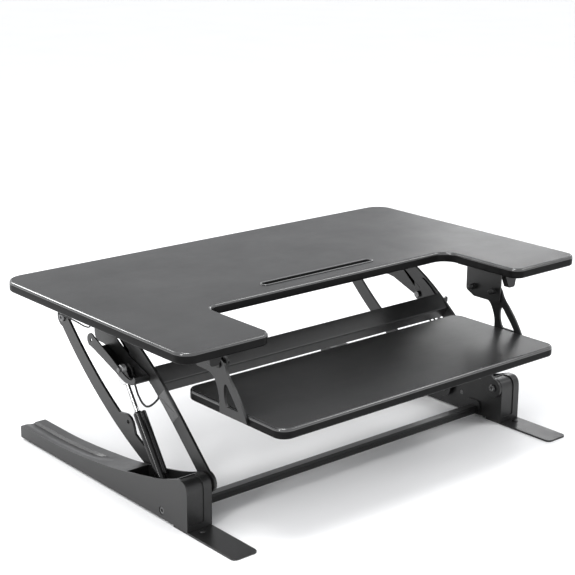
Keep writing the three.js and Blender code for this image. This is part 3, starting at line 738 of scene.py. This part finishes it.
def bolts():
    for side, word in SIDES:
        crossbar_bolt(word, side)
        foot_pivot_bolt(word, side, "front", FRONT_FOOT_PIVOT)
        foot_pivot_bolt(word, side, "rear", REAR_FOOT_PIVOT)
        desk_pivot_bolt(word, side, "front", FRONT_DESK_PIVOT, ARM_OUTER + GAP + PAN_SHEET)
        desk_pivot_bolt(word, side, "rear", REAR_DESK_PIVOT, ARM_OUTER)
        for place, at in THUMB_BOLTS.items():
            thumb_bolt(word, side, place, at)


def foot_screws():
    """The low pan-head screws through the foot plates."""
    head = [
        (5.2, 0),
        (5.4, 0.25),
        (5.3, 0.9),
        (4.6, 1.7),
        (3.4, 2.3),
        (2.3, 2.6),
        (hexagon(1.9), 2.6),
        (hexagon(1.75), 1.2),
    ]
    for _, word in SIDES:
        node = f"{word}_foot_plate_screw"
        low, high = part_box(node)
        centre = (low + high) / 2 / MM
        seat = low.z / MM
        bm = bmesh.new()
        capped(bm, [[(x, y, seat + up) for x, y in loop(centre, radius, 40)] for radius, up in head])
        obj = from_bmesh(f"{node}_socket", bm)
        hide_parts(node)
        finished(obj, node, ["powder"], smooth=40)


# ------------------------------------------------------------------ cables and the blank plate


def cable(node, side, points, radius):
    curve = bpy.data.curves.new(f"{node}_run", "CURVE")
    curve.dimensions = "3D"
    curve.bevel_depth = radius * MM
    curve.bevel_resolution = 4
    curve.resolution_u = 10
    curve.use_fill_caps = True
    line = curve.splines.new("BEZIER")
    line.bezier_points.add(len(points) - 1)
    for knot, (x, y, z) in zip(line.bezier_points, points):
        knot.co = Vector((side * x, y, z)) * MM
        knot.handle_left_type = knot.handle_right_type = "AUTO"
    obj = bpy.data.objects.new(f"{node}_run", curve)
    bpy.context.scene.collection.objects.link(obj)
    obj = applied(obj)
    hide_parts(node)
    finished(obj, node, smooth=60)


def blank_plate():
    """A thin plain plate that lies flat on the outer face of the left front arm."""
    outline = rounded([(y, z, BLANK_PLATE_CORNER) for y, z in BLANK_PLATE], 5)
    bm = bmesh.new()
    rings = []
    for by, out in ((0, 0.1), (0, 0.45), (0.15, 0.6), (1.6, 0.6), (1.9, 0.45), (2.3, 0.45)):
        rings.append([(-ARM_OUTER - out, p.x, p.y) for p in inset(outline, by)])
    capped(bm, rings)
    obj = from_bmesh("left_arm_blank_plate", bm)
    obj.data.materials.append(FINISHES["blank_film"])
    shaded(obj.data, 12)
    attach(obj, "front_arms")


def foot_edge(a, b):
    """Whether an edge lies in a foot's inner or outer side, off the sole and not all in the low part."""
    outer = all(abs(abs(p.x) - FOOT_OUTER) < 0.02 for p in (a, b))
    inner = all(abs(abs(p.x) - FOOT_INNER) < 0.02 for p in (a, b))
    raised = min(a.z, b.z) > FOOT_SOLE and max(a.z, b.z) > FOOT_LOW_PART
    return (outer or inner) and raised


def sheet_metal():
    for _, word in SIDES:
        housing = f"{word}_foot_housing"
        softened(housing, FOOT_OPENING_ROUNDING, foot_edge, FOOT_ROUNDING, segments=4, smooth=40)
        for name, wide in EDGE_ROUNDING.items():
            softened(f"{word}_{name}", wide, smooth=40)
    softened("crossbar", CROSSBAR_ROUNDING)
    softened("arm_cross_channel", CHANNEL_ROUNDING)


# ------------------------------------------------------------------ stage


# places and sizes in metres, power in watts, lens and sensor in millimetres
FLOOR_HALF, FLOOR_SINK = 14.0, 0.0002
WORLD_COLOUR, WORLD_STRENGTH = (0.97, 0.98, 1.0, 1), 1.15
LAMP_TARGET = (0, 0, 0.2)
LAMPS = (
    {"name": "key", "place": (-2.8, -0.92, 1.36), "size": (0.35, 0.8), "power": 24},
    {"name": "top", "place": (-0.65, -0.45, 2.5), "size": (0.8, 0.8), "power": 34},
    {"name": "front edges", "place": (1.5, -1.3, 1.7), "size": (0.9, 0.5), "power": 11},
    {"name": "side edges", "place": (-1.1, 2.1, 1.5), "size": (0.9, 0.7), "power": 34},
    {"name": "back", "place": (2.9, 2.0, 1.0), "size": (0.7, 0.6), "power": 6},
)
CAMERA_PLACE = (-1.6133, -1.8593, 1.0148)
CAMERA_LENS, CAMERA_SENSOR = 88.5, 36
CAMERA_AZIMUTH, CAMERA_DIP, CAMERA_ROLL = (math.radians(a) for a in (40.39, 16.27, 0.37))


def floor():
    """A pale floor that fades into the background."""
    half = FLOOR_HALF
    corners = [(-half, -half, 0), (half, -half, 0), (half, half, 0), (-half, half, 0)]
    mesh = bpy.data.meshes.new("floor")
    mesh.from_pydata(corners, [], [(0, 1, 2, 3)])
    obj = bpy.data.objects.new("floor", mesh)
    bpy.context.scene.collection.objects.link(obj)
    obj.location.z = -FLOOR_SINK
    g = Graph("pale_floor")
    mottle = g.noise(3, 4)
    tint = g.tint(mottle, grey(0.86), grey(0.88))
    mesh.materials.append(g.set(Base_Color=tint, Roughness=g.ramp(mottle, 0.55, 0.6)))


def lights():
    bpy.context.scene.view_settings.view_transform = "Standard"
    world = bpy.data.worlds.new("studio")
    bpy.context.scene.world = world
    world.use_nodes = True
    background = world.node_tree.nodes["Background"]
    background.inputs["Color"].default_value = WORLD_COLOUR
    background.inputs["Strength"].default_value = WORLD_STRENGTH

    for lamp in LAMPS:
        data = bpy.data.lights.new(lamp["name"], "AREA")
        data.shape = "RECTANGLE"
        data.energy = lamp["power"]
        data.size, data.size_y = lamp["size"]
        obj = bpy.data.objects.new(lamp["name"], data)
        obj.location = lamp["place"]
        aim = Vector(LAMP_TARGET) - Vector(lamp["place"])
        obj.rotation_euler = aim.to_track_quat("-Z", "Y").to_euler()
        bpy.context.scene.collection.objects.link(obj)


def camera():
    """A long lens at the front left that looks down on the desktop at a low angle."""
    ahead = math.cos(CAMERA_DIP)
    forward = Vector(
        (math.sin(CAMERA_AZIMUTH) * ahead, math.cos(CAMERA_AZIMUTH) * ahead, -math.sin(CAMERA_DIP))
    )
    right = Vector((math.cos(CAMERA_AZIMUTH), -math.sin(CAMERA_AZIMUTH), 0))
    up = right.cross(forward)
    c, s = math.cos(CAMERA_ROLL), math.sin(CAMERA_ROLL)
    right, up = c * right + s * up, c * up - s * right
    data = bpy.data.cameras.new("camera")
    data.lens, data.sensor_width = CAMERA_LENS, CAMERA_SENSOR
    obj = bpy.data.objects.new("camera", data)
    turn = Matrix((right, up, -forward)).transposed().to_4x4()
    obj.matrix_world = Matrix.Translation(CAMERA_PLACE) @ turn
    bpy.context.scene.collection.objects.link(obj)
    bpy.context.scene.camera = obj


camera()
dress_nodes()
boards()
slot_liner()
sheet_metal()
bolts()
foot_screws()
for mirror, hand in SIDES:
    cable(f"{hand}_release_cable", mirror, RELEASE_CABLE, RELEASE_CABLE_RADIUS)
    cable(f"{hand}_paddle_cable", mirror, PADDLE_CABLE, PADDLE_CABLE_RADIUS)
blank_plate()
floor()
lights()
